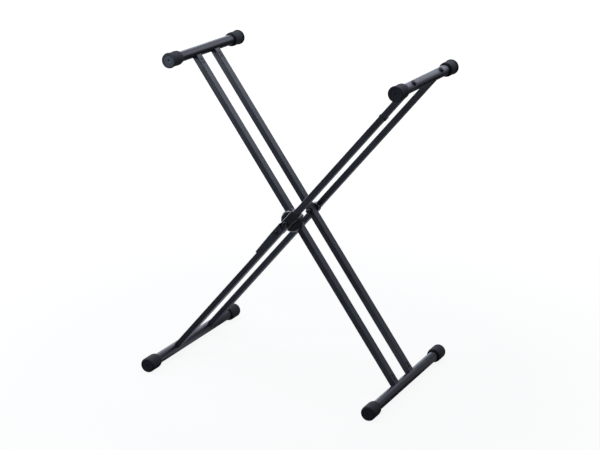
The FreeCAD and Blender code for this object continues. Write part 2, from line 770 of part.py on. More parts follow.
# ---------------------------------------------------------------- cable tie
def cable_tie():
    """Nylon tie drawn tight round the near outer tube, its cut tail past the head."""
    low = tie_height - tie_width / 2
    high = tie_height + tie_width / 2
    inner_x = half_width + tie_clearance
    inner_y = half_depth + tie_clearance
    band = block(-inner_x - tie_thickness, inner_x + tie_thickness,
                 -inner_y - tie_thickness, inner_y + tie_thickness, low, high)
    band = band.makeFillet(tie_thickness + tube_corner,
                           edges_where(band, lambda edge: runs_along(edge, "z")))
    hole = block(-inner_x, inner_x, -inner_y, inner_y, low, high)
    hole = hole.makeFillet(tube_corner, edges_where(hole, lambda edge: runs_along(edge, "z")))
    middle = -half_depth + tie_head_setback
    head = block(inner_x, half_width + tie_head_rise, middle - tie_head_width / 2,
                 middle + tie_head_width / 2, tie_height - tie_head_length / 2,
                 tie_height + tie_head_length / 2)
    fronts = edges_where(head, lambda edge: edge.BoundBox.XMin > half_width + tie_head_rise - 1e-4)
    head = head.makeFillet(tie_head_edge, fronts)
    tail_face = half_width + tie_head_rise - tie_thickness
    tail = block(tail_face - tie_tail_thickness, tail_face, middle - tie_head_width / 2
                 - tie_tail_length, middle, tie_height - tie_tail_width / 2,
                 tie_height + tie_tail_width / 2)
    tie = band.cut(hole).fuse([head, tail]).removeSplitter()
    tie.translate(Vector(0, -outer_tube_y, 0))
    return tie


# ---------------------------------------------------------------- all pieces
def frame_pieces(name):
    """The tubes, bars and caps of one frame."""
    pieces = {}
    tube = frame_tube(name)
    for side_name, side in SIDES.items():
        shape = tube.copy()
        if name == "outer" and side_name == "near":
            shape = lever_holes(shape)
        if name == "inner" and side_name == "near":
            shape = disc_rivet_holes(shape)
        shape.translate(Vector(0, side * TUBE_Y[name], 0))
        pieces[f"{name}_tube_{side_name}"] = shape
        pieces[f"{name}_arm_cap_{side_name}"] = mirrored(arm_cap(arm_reach), side)
        pieces[f"{name}_foot_cap_{side_name}"] = mirrored(foot_cap(-foot_reach), side)
    pieces[f"{name}_arm_bar"] = bar(name, arm_span, arm_reach)
    pieces[f"{name}_foot_bar"] = bar(name, foot_span, -foot_reach)
    if name == "inner":
        for node, shape in pieces.items():
            if "cap" in node or "bar" in node:
                shape.translate(Vector(0, inner_bar_shift, 0))
    return pieces


def inner_only():
    sleeve = ring(sleeve_radius, pivot_bolt_radius + pivot_fit, inner_face, gap_start)
    long_sleeve = ring(sleeve_radius, pivot_bolt_radius + pivot_fit, -gap_start - disc_thickness,
                       -inner_face)
    return {"inner_bar_stubs": drilled_stubs(),
            "inner_stub_screws": stub_screws(),
            "notched_disc": notched_disc(),
            "disc_rivets": disc_rivets(),
            "inner_pivot_sleeves": Part.makeCompound([sleeve, long_sleeve])}


def outer_only():
    sleeve = ring(sleeve_radius, pivot_bolt_radius + thread_clearance, gap_end, outer_face)
    steel = ring(pivot_washer_radius, pivot_bolt_radius + pivot_fit, nut_seat, washer_face)
    nylon = ring(nylon_washer_radius, pivot_bolt_radius + pivot_fit, washer_face,
                 inner_face - face_gap)
    return {"outer_bar_bolts": at_joints(bar_bolt(), "outer"),
            "outer_saddle_washers": at_joints(saddle_washer(), "outer"),
            "outer_tube_plugs": at_joints(plug(), "outer"),
            "outer_plug_nuts": at_joints(plug_nut(), "outer"),
            "outer_pivot_sleeves": both_sides(sleeve),
            "pivot_bolts": pivot_bolts(),
            "pivot_nuts": both_sides(pivot_nut()),
            "pivot_steel_washers": both_sides(steel),
            "pivot_nylon_washers": both_sides(nylon),
            "pivot_spacer": pivot_spacer(),
            "lock_cover": lock_cover(),
            "pivot_housing": pivot_housing(),
            "release_lever": lever(),
            "lock_pawl": pawl(),
            "pawl_rivets": pawl_rivets(),
            "lever_pin": lever_pin(),
            "lever_leaf_spring": leaf_spring(),
            "leaf_spring_rivet": leaf_rivet(),
            "cable_tie": cable_tie()}


def build():
    os.makedirs("parts", exist_ok=True)
    extras = {"inner": inner_only(), "outer": outer_only()}
    for name, lean in FRAMES.items():
        pieces = {**frame_pieces(name), **extras[name]}
        for node, shape in pieces.items():
            stood(shape, lean).exportStep(f"parts/{node}.step")


build()
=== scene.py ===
import json
import math

import bpy
from mathutils import Matrix, Vector

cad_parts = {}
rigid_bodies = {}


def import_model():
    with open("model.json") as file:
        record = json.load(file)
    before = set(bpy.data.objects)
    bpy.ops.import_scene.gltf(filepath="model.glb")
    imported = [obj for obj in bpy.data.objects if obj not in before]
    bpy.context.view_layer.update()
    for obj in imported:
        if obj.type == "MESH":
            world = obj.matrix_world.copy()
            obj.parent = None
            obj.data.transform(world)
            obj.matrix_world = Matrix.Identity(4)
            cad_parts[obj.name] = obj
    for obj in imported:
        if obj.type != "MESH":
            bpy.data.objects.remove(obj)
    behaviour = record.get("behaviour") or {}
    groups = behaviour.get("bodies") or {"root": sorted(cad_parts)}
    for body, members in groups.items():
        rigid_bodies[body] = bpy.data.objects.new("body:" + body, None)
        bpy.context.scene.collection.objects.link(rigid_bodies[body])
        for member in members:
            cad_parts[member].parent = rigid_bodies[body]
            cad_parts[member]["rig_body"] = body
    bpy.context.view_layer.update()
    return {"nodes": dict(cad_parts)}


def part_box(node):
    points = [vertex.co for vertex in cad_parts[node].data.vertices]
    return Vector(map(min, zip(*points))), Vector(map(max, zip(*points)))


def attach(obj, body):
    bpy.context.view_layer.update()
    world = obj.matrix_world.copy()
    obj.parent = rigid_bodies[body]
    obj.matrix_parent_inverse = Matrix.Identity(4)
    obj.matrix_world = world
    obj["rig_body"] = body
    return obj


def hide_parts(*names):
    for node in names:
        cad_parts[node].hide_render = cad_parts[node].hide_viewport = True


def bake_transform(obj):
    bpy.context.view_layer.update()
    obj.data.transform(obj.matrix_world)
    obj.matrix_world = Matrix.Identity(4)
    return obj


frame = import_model()
bpy.ops.object.select_all(action="DESELECT")

# ---------------------------------------------------------------- frame tubes
# Four cold-rolled rectangular steel tubes, 15 by 26 mm, coped at both ends to cradle the
# round bars. They are powder coated in a satin black that leans a little to blue.
MM = 0.001
MERGE_WITHIN = 0.002 * MM    # corners of neighbouring CAD triangles that are one point
CAD_SHARP = 32.0             # degrees: a larger turn between two faces is a sharp edge
PATTERN_SPREAD = (0.3, 0.7)  # the values between which nearly all of a pattern lies


def linear(hex_colour):
    """A colour written as sRGB hex, as the shader wants it."""
    channels = [int(hex_colour[i:i + 2], 16) / 255 for i in (1, 3, 5)]
    curve = [c / 12.92 if c <= 0.04045 else ((c + 0.055) / 1.055) ** 2.4 for c in channels]
    return (*curve, 1.0)


def shader_of(material):
    """The Principled shader that a material's nodes feed."""
    return material.node_tree.nodes["Principled BSDF"]


def new_finish(name):
    """A new material and its shader."""
    material = bpy.data.materials.new(name)
    material.use_nodes = True
    return material, shader_of(material)


def add(material, kind, settings=None, links=None):
    """Adds one node: settings are its own properties or inputs, links name what feeds it."""
    tree = material.node_tree
    node = tree.nodes.new(kind)
    for key, value in (settings or {}).items():
        if isinstance(key, str) and key not in node.inputs:
            setattr(node, key, value)
        else:
            node.inputs[key].default_value = value
    for key, source in (links or {}).items():
        tree.links.new(source, node.inputs[key])
    return node


def feed(shader, socket, source):
    """Links an output to a socket of the shader, in place of what fed it before."""
    shader.id_data.links.new(source, shader.inputs[socket])


def mottle(material, shader, pattern, colours, roughness, dull_from=PATTERN_SPREAD[0]):
    """Lets one pattern vary the surface between two sRGB hex colours. Its roughness is one
    number, or two that the pattern moves between from the value dull_from upwards."""
    tone = add(material, "ShaderNodeValToRGB", links={"Fac": pattern})
    for point, colour, spot in zip(tone.color_ramp.elements, colours, PATTERN_SPREAD):
        point.color = linear(colour)
        point.position = spot
    feed(shader, "Base Color", tone.outputs["Color"])
    if isinstance(roughness, tuple):
        gloss = add(material, "ShaderNodeMapRange",
                    {"From Min": dull_from, "From Max": PATTERN_SPREAD[1],
                     "To Min": roughness[0], "To Max": roughness[1]}, {"Value": pattern})
        feed(shader, "Roughness", gloss.outputs["Result"])
    else:
        shader.inputs["Roughness"].default_value = roughness


def smooth_round_faces(piece, sharp):
    """Shades a piece smooth except at edges past an angle, and keeps its flat faces flat."""
    bpy.ops.object.select_all(action="DESELECT")
    bpy.context.view_layer.objects.active = piece
    piece.select_set(True)
    bpy.ops.object.shade_smooth_by_angle(angle=math.radians(sharp))
    even = piece.modifiers.new("even_flat_faces", "WEIGHTED_NORMAL")
    even.keep_sharp = True
    bpy.ops.object.modifier_apply(modifier=even.name)


def stand_for(piece, node, material, rides=True):
    """Lets a finished piece stand for its CAD node, with the given material, on its body if it
    rides.
    """
    piece.data.materials.clear()
    piece.data.materials.append(material)
    if rides:
        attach(piece, frame["nodes"][node]["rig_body"])
    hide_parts(node)


def clean_copy(node, material, rides=True):
    """A copy of a CAD piece in its place, its triangles merged and its round faces smooth."""
    mesh = frame["nodes"][node].data.copy()
    piece = bpy.data.objects.new(f"{node}_finished", mesh)
    bpy.context.scene.collection.objects.link(piece)
    bpy.ops.object.select_all(action="DESELECT")
    bpy.context.view_layer.objects.active = piece
    piece.select_set(True)
    bpy.ops.object.mode_set(mode="EDIT")
    bpy.ops.mesh.select_all(action="SELECT")
    bpy.ops.mesh.remove_doubles(threshold=MERGE_WITHIN)
    bpy.ops.object.mode_set(mode="OBJECT")
    smooth_round_faces(piece, CAD_SHARP)
    stand_for(piece, node, material, rides)
    return piece


# Satin powder coat: the resin flows out in the oven to a faint orange peel with cells of
# 1 to 2 mm, so highlights are broad and slightly broken, and dust dulls it in soft patches.
PEEL_CELL = 1.5 * MM
PEEL_DEPTH = 0.12 * MM
TUBE_DUST_PATCH = 60 * MM
tube_coat, shader = new_finish("satin_powder_coat")
place = add(tube_coat, "ShaderNodeTexCoord")
peel = add(tube_coat, "ShaderNodeTexNoise", {"Scale": 1 / PEEL_CELL, "Detail": 2.0},
           {"Vector": place.outputs["Object"]})
dust = add(tube_coat, "ShaderNodeTexNoise",
           {"Scale": 1 / TUBE_DUST_PATCH, "Detail": 5.0, "Roughness": 0.62},
           {"Vector": place.outputs["Object"]})
mottle(tube_coat, shader, dust.outputs["Fac"], ("#13161b", "#22262d"), (0.34, 0.48))
relief = add(tube_coat, "ShaderNodeBump", {"Strength": 0.3, "Distance": PEEL_DEPTH},
             {"Height": peel.outputs["Fac"]})
feed(shader, "Normal", relief.outputs["Normal"])
for lean in ("inner", "outer"):
    for side in ("near", "far"):
        clean_copy(f"{lean}_tube_{side}", tube_coat)

# ---------------------------------------------------------------- bars
# Round bars of drawn steel, 27.2 mm across, coated like the tubes. On the outer arm bar a
# paler, speckled grey is painted on the coat just outside each bolt, as a painted highlight.
DRAWING_LINE = 1.1 * MM      # across one line left by the drawing die
DRAWING_STRETCH = 0.03       # the pattern's scale along the bar, which turns it into lines
DRAWING_DEPTH = 0.1 * MM
BAR_DUST_PATCH = 45 * MM

# Powder coat on drawn bar: it lies smoother than on the tubes, so it looks glossier, and
# the die's fine lines show through it and draw the highlight out along the bar.
bar_coat, shader = new_finish("powder_coat_on_drawn_bar")
place = add(bar_coat, "ShaderNodeTexCoord")
stretch = add(bar_coat, "ShaderNodeMapping", {"Scale": (1.0, DRAWING_STRETCH, 1.0)},
              {"Vector": place.outputs["Object"]})
drawing = add(bar_coat, "ShaderNodeTexNoise", {"Scale": 1 / DRAWING_LINE, "Detail": 3.0},
              {"Vector": stretch.outputs["Vector"]})
dust = add(bar_coat, "ShaderNodeTexNoise",
           {"Scale": 1 / BAR_DUST_PATCH, "Detail": 5.0, "Roughness": 0.62},
           {"Vector": place.outputs["Object"]})
mottle(bar_coat, shader, dust.outputs["Fac"], ("#0f0f14", "#1c1c23"), (0.24, 0.34))
shader.inputs["Specular IOR Level"].default_value = 0.36
relief = add(bar_coat, "ShaderNodeBump", {"Strength": 0.2, "Distance": DRAWING_DEPTH},
             {"Height": drawing.outputs["Fac"]})
feed(shader, "Normal", relief.outputs["Normal"])
for node in ("inner_arm_bar", "inner_foot_bar", "outer_foot_bar"):
    clean_copy(node, bar_coat)


def lay_over(material, shader, socket, share, value):
    """Lets an sRGB hex colour, or a number, take the place of what feeds a socket where the
    share is 1. A Mix node keeps its number inputs at 2 and 3 and its colours at 6 and 7."""
    under = shader.inputs[socket].links[0].from_socket
    if isinstance(value, str):
        mix = add(material, "ShaderNodeMix", {"data_type": "RGBA", 7: linear(value)},
                  {"Factor": share, 6: under})
        feed(shader, socket, mix.outputs[2])
    else:
        mix = add(material, "ShaderNodeMix", {3: value}, {"Factor": share, 2: under})
        feed(shader, socket, mix.outputs[0])


# Painted highlight: just outside each bolt the coat's colour turns from black to a speckled
# grey, for the bright shine there. The specks are drawn large enough to show in the render.
BOLT_HEAD_RADIUS = 6.4 * MM
BOLT_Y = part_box("outer_bar_bolts")[1].y - BOLT_HEAD_RADIUS
PATCH_OFFSET = 12 * MM       # the patch's middle, outwards from the bolt
PATCH_FULL = 12 * MM         # fully painted up to here from the patch's middle
PATCH_END = 30 * MM          # and not at all from here on
SPECK = 2.2 * MM
bar_coat_painted_highlight = bar_coat.copy()
bar_coat_painted_highlight.name = "powder_coat_painted_highlight_at_bolts"
shader = shader_of(bar_coat_painted_highlight)
place = add(bar_coat_painted_highlight, "ShaderNodeTexCoord")
along = add(bar_coat_painted_highlight, "ShaderNodeSeparateXYZ", links={"Vector": place.outputs["Object"]})
either_end = add(bar_coat_painted_highlight, "ShaderNodeMath", {"operation": "ABSOLUTE"},
                 {0: along.outputs["Y"]})
offset = add(bar_coat_painted_highlight, "ShaderNodeMath", {"operation": "SUBTRACT", 1: BOLT_Y + PATCH_OFFSET},
             {0: either_end.outputs[0]})
from_middle = add(bar_coat_painted_highlight, "ShaderNodeMath", {"operation": "ABSOLUTE"},
                  {0: offset.outputs[0]})
patch = add(bar_coat_painted_highlight, "ShaderNodeMapRange",
            {"From Min": PATCH_FULL, "From Max": PATCH_END, "To Min": 1.0, "To Max": 0.0},
            {"Value": from_middle.outputs[0]})
specks = add(bar_coat_painted_highlight, "ShaderNodeTexNoise",
             {"Scale": 1 / SPECK, "Detail": 4.0, "Roughness": 0.7},
             {"Vector": place.outputs["Object"]})
grains = add(bar_coat_painted_highlight, "ShaderNodeMapRange",
             {"From Min": 0.35, "From Max": 0.68, "To Min": 0.1, "To Max": 1.0},
             {"Value": specks.outputs["Fac"]})
painted_highlight = add(bar_coat_painted_highlight, "ShaderNodeMath", {"operation": "MULTIPLY"},
           {0: patch.outputs["Result"], 1: grains.outputs["Result"]})
# Painted highlight: this paler grey is laid over the coat's colour in the patch beside each
# bolt.
lay_over(bar_coat_painted_highlight, shader, "Base Color", painted_highlight.outputs[0], "#4c4d59")
clean_copy("outer_arm_bar", bar_coat_painted_highlight)

# ---------------------------------------------------------------- arm caps
# Black rubber caps moulded in one piece and pushed over the arm bars: a thick flange keeps
# the instrument from sliding off, and the grooved sleeve behind it bows out to its mouth.
CAP_SEGMENTS = 72
CAP_SHARP = 50.0             # degrees, as for the CAD pieces
CAP_LENGTH = 47.0            # this and the caps' other sizes are in mm
CAP_END_WALL = 4.0
BORE_RADIUS = 13.65
BORE_EASE = 0.3              # lead-in at the bore's mouth
MOUTH_RADIUS = 18.5
MOUTH_ROUNDING = 0.8
DISH_RADIUS = 13.4
DISH_DEPTH = 0.7
DISH_MIDWAY = 8.0            # a ring halfway over the dish, which keeps its faces even
RIM_EASE = 0.5               # softening of the dish's edge, on both sides
RIM_TURN = 0.1               # and where it turns down, this far out from the dish
RIM_DROP = 0.15              # and this far below the face
VENT_RADIUS = 1.9
VENT_DEPTH = 3.6
VENT_EASE = 0.4
DISC_INNER = VENT_RADIUS + 0.6       # the smooth disc in the dish, between these radii
DISC_OUTER = DISH_RADIUS - 0.4
DISC_REACH = 1.2             # and no deeper than this
NECK_RADIUS = 16.9           # just behind the flange
BELLY_RADIUS = 18.9          # the sleeve's widest part
BELLY_SETBACK = 39.0
FLANGE_LENGTH = 7.0
FLANGE_RADIUS = 19.9
FLANGE_EDGE = 2.6
GROOVE_COUNT = 5
GROOVE_PITCH = 5.4
GROOVE_DEPTH = 0.5
GROOVE_TOP = 0.9             # half its width at the surface
GROOVE_FLOOR = 0.4           # half its width at the bottom


def moulded_rubber(name, colours):
    """Matte rubber from a blasted mould: a fine even grain, greyed in patches by its bloom.
    The disc in the end face comes from a polished part of the mould, so it shines a little."""
    grain_size = 0.9 * MM
    grain_depth = 0.2 * MM
    bloom_patch = 22 * MM
    rubber, shader = new_finish(name)
    place = add(rubber, "ShaderNodeTexCoord")
    grain = add(rubber, "ShaderNodeTexNoise", {"Scale": 1 / grain_size, "Detail": 3.0},
                {"Vector": place.outputs["Object"]})
    bloom = add(rubber, "ShaderNodeTexNoise",
                {"Scale": 1 / bloom_patch, "Detail": 6.0, "Roughness": 0.68},
                {"Vector": place.outputs["Object"]})
    mottle(rubber, shader, bloom.outputs["Fac"], colours, (0.62, 0.78))
    shader.inputs["Specular IOR Level"].default_value = 0.34
    polished = add(rubber, "ShaderNodeAttribute", {"attribute_name": "end_disc"})
    lay_over(rubber, shader, "Base Color", polished.outputs["Fac"], "#1d2029")
    lay_over(rubber, shader, "Roughness", polished.outputs["Fac"], 0.38)
    coarse = add(rubber, "ShaderNodeMapRange", {"To Min": 0.45, "To Max": 0.05},
                 {"Value": polished.outputs["Fac"]})
    relief = add(rubber, "ShaderNodeBump", {"Distance": grain_depth},
                 {"Height": grain.outputs["Fac"], "Strength": coarse.outputs["Result"]})
    feed(shader, "Normal", relief.outputs["Normal"])
    return rubber


def end_of(cap):
    """A cap's middle, the y of its end face, and the way along y that this face points."""
    low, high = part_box(cap)
    outward = 1.0 if cap.endswith("far") else -1.0
    face = high.y if outward > 0 else low.y
    return (low + high) / 2, face, outward


def lathe(name, cap, outline):
    """Turns a cap about its bar: one ring per point of the outline, which gives its setback
    from the end face and its radius, extruded and sized in turn, and closed at both ends."""
    middle, face, outward = end_of(cap)
    setback, radius = outline[0]
    bpy.ops.object.select_all(action="DESELECT")
    bpy.ops.mesh.primitive_circle_add(
        vertices=CAP_SEGMENTS, radius=radius * MM, fill_type="TRIFAN",
        rotation=(math.pi / 2, 0, 0),
        location=(middle.x, face - outward * setback * MM, middle.z))
    piece = bpy.context.object
    piece.name = name
    bpy.ops.object.transform_apply(location=True, rotation=True, scale=True)
    bpy.ops.object.mode_set(mode="EDIT")
    bpy.ops.mesh.select_mode(type="EDGE")
    bpy.ops.mesh.select_all(action="SELECT")
    bpy.ops.mesh.region_to_loop()
    for next_setback, next_radius in outline[1:]:
        run = outward * (setback - next_setback) * MM
        bpy.ops.mesh.extrude_edges_move(TRANSFORM_OT_translate={"value": (0, run, 0)})
        centre = (middle.x, face - outward * next_setback * MM, middle.z)
        size = next_radius / radius
        bpy.ops.transform.resize(value=(size, 1, size), center_override=centre)
        setback, radius = next_setback, next_radius
    bpy.ops.mesh.edge_face_add()
    bpy.ops.mesh.poke()
    bpy.ops.mesh.select_all(action="SELECT")
    bpy.ops.mesh.normals_make_consistent(inside=False)
    bpy.ops.object.mode_set(mode="OBJECT")
    return piece


def mark_end_disc(piece, cap):
    """Marks the points of the smooth disc in a cap's end face, for its rubber to read."""
    middle, face, _ = end_of(cap)
    disc = piece.data.attributes.new("end_disc", "FLOAT", "POINT")
    for vertex, mark in zip(piece.data.vertices, disc.data):
        off_axis = math.hypot(vertex.co.x - middle.x, vertex.co.z - middle.z)
        in_dish = abs(vertex.co.y - face) < DISC_REACH * MM
        in_ring = DISC_INNER * MM < off_axis < DISC_OUTER * MM
        mark.value = 1.0 if in_dish and in_ring else 0.0


def mould_caps(end, outline, rubber):
    """Makes the four caps of the arm bars or of the foot bars, each in its solid's place."""
    for lean in ("inner", "outer"):
        for side in ("near", "far"):
            cap = f"{lean}_{end}_cap_{side}"
            piece = lathe(f"{cap}_moulded", cap, outline)
            soften = piece.modifiers.new("soft_edges", "SUBSURF")
            soften.levels = soften.render_levels = 1
            bpy.context.view_layer.objects.active = piece
            bpy.ops.object.modifier_apply(modifier=soften.name)
            smooth_round_faces(piece, CAP_SHARP)
            mark_end_disc(piece, cap)
            stand_for(piece, cap, rubber)


def bore_and_mouth(rim):
    """From the bore's closed end out to the mouth, and round its rim of the given radius."""
    return [(CAP_END_WALL, BORE_RADIUS), (CAP_LENGTH - BORE_EASE, BORE_RADIUS),
            (CAP_LENGTH, BORE_RADIUS + BORE_EASE), (CAP_LENGTH, rim),
            (CAP_LENGTH - MOUTH_ROUNDING, MOUTH_RADIUS)]


def rounded(radius, edge, steps):
    """Points round a cap's edge of the given radius, from its side to its end face."""
    turns = [math.radians(90 * step / steps) for step in range(steps + 1)]
    return [(edge * (1 - math.sin(turn)), radius - edge * (1 - math.cos(turn)))
            for turn in turns]


def cap_face():
    """The end face from its rim inwards: a shallow dish with a vent hole in its middle."""
    return [(0.0, DISH_RADIUS + RIM_EASE), (RIM_DROP, DISH_RADIUS + RIM_TURN),
            (DISH_DEPTH, DISH_RADIUS), (DISH_DEPTH, DISH_RADIUS - RIM_EASE),
            (DISH_DEPTH, DISH_MIDWAY), (DISH_DEPTH, VENT_RADIUS + VENT_EASE),
            (DISH_DEPTH + VENT_EASE, VENT_RADIUS), (VENT_DEPTH, VENT_RADIUS)]


def sleeve_at(setback):
    """The sleeve's outer radius, on an arc that is widest at the belly."""
    rise = BELLY_RADIUS - NECK_RADIUS
    run = BELLY_SETBACK - FLANGE_LENGTH
    bow = (run ** 2 + rise ** 2) / (2 * rise)
    return BELLY_RADIUS - bow + math.sqrt(bow ** 2 - (setback - BELLY_SETBACK) ** 2)


def groove(setback):
    """A narrow ring pressed into the sleeve."""
    surface = sleeve_at(setback)
    floor = surface - GROOVE_DEPTH
    return [(setback + GROOVE_TOP, surface), (setback + GROOVE_FLOOR, floor),
            (setback - GROOVE_FLOOR, floor), (setback - GROOVE_TOP, surface)]


arm_cap_outline = bore_and_mouth(rim=17.6)
for index in range(GROOVE_COUNT):
    arm_cap_outline += groove(CAP_LENGTH - GROOVE_PITCH * (index + 1))
arm_cap_outline += [(setback, sleeve_at(setback)) for setback in (14.0, 9.0)]
# The neck sweeps up into the flange's back, and the outline follows its rim to the face.
arm_cap_outline += [(7.6, 17.2), (6.9, 18.0), (6.2, 19.2), (5.0, FLANGE_RADIUS),
                    (3.4, FLANGE_RADIUS)]
arm_cap_outline += rounded(FLANGE_RADIUS, FLANGE_EDGE, steps=5)[1:] + cap_face()
arm_rubber = moulded_rubber("moulded_arm_cap_rubber", ("#0d0e12", "#1c1e23"))
mould_caps("arm", arm_cap_outline, arm_rubber)

# ---------------------------------------------------------------- foot caps
# Plain thick rubber caps on the foot bars, thinner just at the mouth, with a well rounded
# end. The stand rests on them. Their rubber is a touch darker than the arm caps'.
FOOT_CAP_RADIUS = 19.4
FOOT_CAP_EDGE = 5.4
foot_cap_outline = bore_and_mouth(rim=17.8)
# A low step leads from the thin lip at the mouth to the thick, straight side.
foot_cap_outline += [(43.0, 18.6), (42.2, 18.8), (41.4, 19.3)]
foot_cap_outline += [(setback, FOOT_CAP_RADIUS) for setback in (39.5, 24.0, 9.0)]
foot_cap_outline += rounded(FOOT_CAP_RADIUS, FOOT_CAP_EDGE, steps=6) + cap_face()
foot_rubber = moulded_rubber("moulded_foot_cap_rubber", ("#0b0c10", "#181a1f"))
mould_caps("foot", foot_cap_outline, foot_rubber)


# ---------------------------------------------------------------- inner bar joints
# Box stubs welded to the inner bars, inside the tubes' ends, each held by two pan-head
# screws through the tube's upper face. The stubs are coated with the bars.
def grained_finish(name, grain, detail, colours, roughness, metallic=0.0, pit_depth=0.0):
    """A finish with one pattern of grains, of a size and a depth in mm."""
    material, shader = new_finish(name)
    place = add(material, "ShaderNodeTexCoord")
    grains = add(material, "ShaderNodeTexNoise",
                 {"Scale": 1 / (grain * MM), "Detail": detail},
                 {"Vector": place.outputs["Object"]})
    mottle(material, shader, grains.outputs["Fac"], colours, roughness)
    shader.inputs["Metallic"].default_value = metallic
    if pit_depth:
        pits = add(material, "ShaderNodeBump",
                   {"Strength": 0.25, "Distance": pit_depth * MM},
                   {"Height": grains.outputs["Fac"]})
        feed(shader, "Normal", pits.outputs["Normal"])
    return material


# Black oxide: steel blackened in a hot salt bath and oiled. The film is thin and porous, so
# it is a soft black that shines in blotches, over the steel's own fine pits.
black_oxide = grained_finish(
    "black_oxide_steel", grain=3.0, detail=4.0, colours=("#0c0c10", "#1c1c22"),
    roughness=(0.26, 0.46), pit_depth=0.05)
shader_of(black_oxide).inputs["Specular IOR Level"].default_value = 0.3
clean_copy("inner_bar_stubs", bar_coat)
clean_copy("inner_stub_screws", black_oxide)

# ---------------------------------------------------------------- outer bar joints
# Button-head bolts through the outer bars, each on a saddle washer that is curved to the
# bar, into a square nut held by a moulded nylon plug in the tube's end.
MOULD_TEXTURE = 0.8 * MM
MOULD_TEXTURE_DEPTH = 0.08 * MM

# Moulded nylon: an even satin black with the mould's fine texture, slightly clouded in soft
# patches where the wall cooled unevenly.
black_nylon = grained_finish(
    "moulded_black_nylon", grain=9.0, detail=4.0, colours=("#101014", "#1e1e23"),
    roughness=0.48)
place = add(black_nylon, "ShaderNodeTexCoord")
mould = add(black_nylon, "ShaderNodeTexNoise", {"Scale": 1 / MOULD_TEXTURE, "Detail": 2.0},
            {"Vector": place.outputs["Object"]})
relief = add(black_nylon, "ShaderNodeBump",
             {"Strength": 0.3, "Distance": MOULD_TEXTURE_DEPTH},
             {"Height": mould.outputs["Fac"]})
feed(shader_of(black_nylon), "Normal", relief.outputs["Normal"])

# Bright zinc plate: a pale, faintly blue metal whose fine grains differ in gloss.
zinc = grained_finish(
    "bright_zinc_plate", grain=1.6, detail=4.0, colours=("#8f939b", "#b9bcc2"),
    roughness=(0.24, 0.42), metallic=1.0)
clean_copy("outer_bar_bolts", black_oxide)
clean_copy("outer_saddle_washers", black_nylon)
clean_copy("outer_tube_plugs", black_nylon)
clean_copy("outer_plug_nuts", zinc)

# ---------------------------------------------------------------- pivots
# Two domed bolts on one axis, each in steel sleeves through an inner and an outer tube, to
# a domed lock nut on a steel and a nylon washer, on the tubes' inner side.

# Natural nylon is milky when new. Grease and dust have turned this to a dark, warm grey.
natural_nylon = grained_finish(
    "natural_nylon", grain=6.0, detail=3.0, colours=("#2e2d2b", "#4a4844"), roughness=0.5)
for node in ("pivot_bolts", "pivot_nuts", "pivot_steel_washers"):
    clean_copy(node, black_oxide)
clean_copy("pivot_nylon_washers", natural_nylon)
for node in ("inner_pivot_sleeves", "outer_pivot_sleeves"):
    clean_copy(node, zinc)

# ---------------------------------------------------------------- height lock
# A hardened disc with a notch for each height, riveted to the near inner tube under a
# glossy moulded drum with a rounded front rim. The far pivot's spacer is moulded likewise.
FLOW_WAVE = 14 * MM
FLOW_DEPTH = 0.4 * MM
RUB_MARK = 2.5 * MM

# Plastic moulded in a polished tool: near black with a sharp highlight, which wavers where
# the melt flowed and is dulled a little by small rub marks.
gloss_plastic, shader = new_finish("glossy_moulded_plastic")
place = add(gloss_plastic, "ShaderNodeTexCoord")
flow = add(gloss_plastic, "ShaderNodeTexNoise", {"Scale": 1 / FLOW_WAVE, "Detail": 1.0},
           {"Vector": place.outputs["Object"]})
rub = add(gloss_plastic, "ShaderNodeTexNoise",
          {"Scale": 1 / RUB_MARK, "Detail": 5.0, "Roughness": 0.7},
          {"Vector": place.outputs["Object"]})
mottle(gloss_plastic, shader, rub.outputs["Fac"], ("#0b0c10", "#15161b"), (0.10, 0.22),
       dull_from=0.35)
relief = add(gloss_plastic, "ShaderNodeBump", {"Strength": 0.2, "Distance": FLOW_DEPTH},
             {"Height": flow.outputs["Fac"]})
feed(shader, "Normal", relief.outputs["Normal"])

# Phosphated hard steel: a matte, even dark grey made of tiny crystals.
hard_steel = grained_finish(
    "phosphated_hard_steel", grain=0.9, detail=5.0, colours=("#3a3c40", "#5c5f64"),
    roughness=0.5, metallic=1.0)
clean_copy("lock_cover", gloss_plastic)
clean_copy("pivot_spacer", gloss_plastic)
clean_copy("notched_disc", hard_steel)
clean_copy("disc_rivets", zinc)

# ---------------------------------------------------------------- pivot housing
# A glossy moulded saddle over the near outer tube, from the drum to the pivot bolt's head.
# Its rounded front edges carry the two bright lines beside the pivot.
clean_copy("pivot_housing", gloss_plastic)

# Blued spring steel: a dark metal with a satin shine, which drifts slowly from grey to blue
# as its temper colour does.
spring_steel = grained_finish(
    "blued_spring_steel", grain=7.0, detail=3.0, colours=("#2a2e3a", "#434a5c"),
    roughness=0.34, metallic=1.0)
clean_copy("release_lever", tube_coat)
clean_copy("lock_pawl", hard_steel)
clean_copy("pawl_rivets", zinc)
clean_copy("lever_pin", black_oxide)
leaf = clean_copy("lever_leaf_spring", spring_steel, rides=False)
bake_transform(leaf)
clean_copy("leaf_spring_rivet", zinc)

# ---------------------------------------------------------------- cable tie
# A black nylon tie drawn tight round the near outer tube to hold a cable, its strap ribbed
# across by the teeth that its head grips, and its tail cut off just past the head.
TOOTH_PITCH = 0.9425 * MM
TOOTH_DEPTH = 0.15 * MM
WAVES_PER_UNIT = 20 / (2 * math.pi)  # bands in one unit of a wave texture at scale 1

